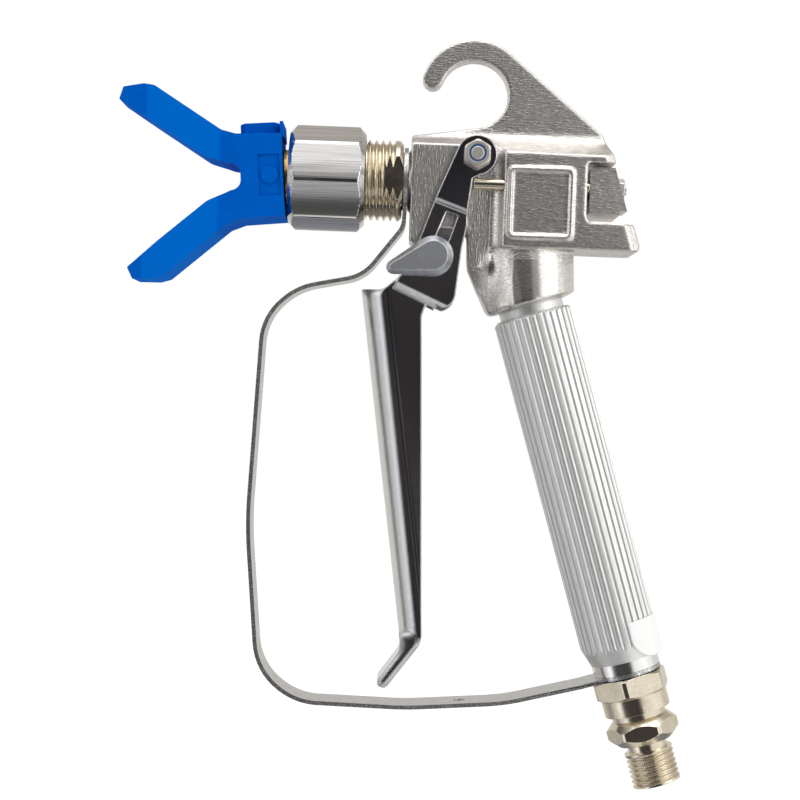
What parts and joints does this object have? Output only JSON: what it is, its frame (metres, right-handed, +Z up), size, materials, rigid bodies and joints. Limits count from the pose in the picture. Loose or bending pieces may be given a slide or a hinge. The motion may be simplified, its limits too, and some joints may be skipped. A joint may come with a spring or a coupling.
{
  "type": "airless spray gun",
  "caption": "Airless paint spray gun with hanging hook, lever trigger, strip guard, fluted filter handle, hose swivel and reversible tip in a forked guard.",
  "frame": {"origin": "centre of the end face of the hose thread", "axes": "+Z up along the gun with the spray axis level, -X the spray direction, +Y away from the side with the lock lever"},
  "size_m": [0.1613, 0.0303, 0.2047],
  "materials": {
    "cast_alloy": "bright tumbled casting",
    "turned_alloy": "bright turned aluminium",
    "satin_alloy": "satin fluted aluminium",
    "nickel": "nickel-plated brass",
    "brass": "turned brass",
    "carbide": "ground carbide",
    "steel": "bright steel",
    "chrome_plate": "polished plating",
    "zinc": "grey zinc casting",
    "blue_plastic": "moulded, satin",
    "blue_nylon": "nylon",
    "ptfe": "PTFE",
    "black_plastic": "filter moulding",
    "mesh_wire": "woven mesh",
    "rubber_black": "o-ring rubber"
  },
  "bodies": {
    "gun": {"gun_body": "cast_alloy", "diffuser": "nickel", "carbide_seat": "carbide", "seat_gasket": "ptfe", "packing_seal": "ptfe", "packing_gland": "brass", "spring_plug": "brass", "return_spring": "steel", "pivot_bolt": "steel", "pivot_nut": "steel", "nylon_ring": "blue_nylon", "guard_strip": "chrome_plate", "handle_tube": "satin_alloy", "handle_gasket": "ptfe", "filter_core": "black_plastic", "filter_mesh": "mesh_wire", "filter_spring": "steel", "swivel_housing": "nickel"},
    "trigger_lever": {"trigger": "chrome_plate"},
    "lock_lever": {"trigger_lock": "zinc", "lock_clip": "steel"},
    "side_pins": {"actuator_pins": "nickel"},
    "needle_group": {"needle": "steel", "actuator_plate": "cast_alloy", "needle_locknut": "steel"},
    "retaining_nut_ring": {"retaining_nut": "turned_alloy"},
    "guard": {"tip_guard": "blue_plastic", "guard_insert": "brass", "tip_seal": "ptfe"},
    "spray_tip": {"tip_barrel": "steel", "tip_orifice": "carbide", "tip_flag": "blue_plastic"},
    "hose_stem": {"swivel_stem": "nickel", "stem_o_ring": "rubber_black"}
  },
  "joints": [
    {"name": "trigger_pull", "type": "hinge", "parent": "gun", "child": "trigger_lever", "pos_m": [-0.05672, 0, 0.17003], "axis": [0, -1, 0], "range_deg": [0, 14], "stiffness_Nm_per_rad": 4, "springref_deg": -17.19},
    {"name": "lock_turn", "type": "hinge", "parent": "trigger_lever", "child": "lock_lever", "pos_m": [-0.06757, 0, 0.14218], "axis": [0, -1, 0], "range_deg": [0, 90]},
    {"name": "pins_slide", "type": "slide", "parent": "gun", "child": "side_pins", "axis": [1, 0, 0], "range_m": [0, 0.002]},
    {"name": "needle_slide", "type": "slide", "parent": "gun", "child": "needle_group", "axis": [1, 0, 0], "range_m": [0, 0.002], "deforming": ["return_spring"]},
    {"name": "retaining_nut_turn", "type": "hinge", "parent": "gun", "child": "retaining_nut_ring", "pos_m": [-0.10788, 0, 0.16328], "axis": [1, 0, 0], "continuous": true},
    {"name": "guard_turn", "type": "hinge", "parent": "gun", "child": "guard", "pos_m": [-0.10402, 0, 0.16328], "axis": [1, 0, 0], "continuous": true},
    {"name": "tip_turn", "type": "hinge", "parent": "guard", "child": "spray_tip", "pos_m": [-0.11538, 0, 0.16233], "axis": [-0.0837, 0, 0.9965], "range_deg": [0, 180]},
    {"name": "hose_swivel", "type": "hinge", "parent": "gun", "child": "hose_stem", "pos_m": [0, 0, 0], "axis": [0.294, 0, -0.9558], "continuous": true}
  ],
  "couplings": [
    {"joint": "pins_slide", "follows": "trigger_pull", "m_per_rad": 0.008},
    {"joint": "needle_slide", "follows": "trigger_pull", "m_per_rad": 0.008}
  ]
}
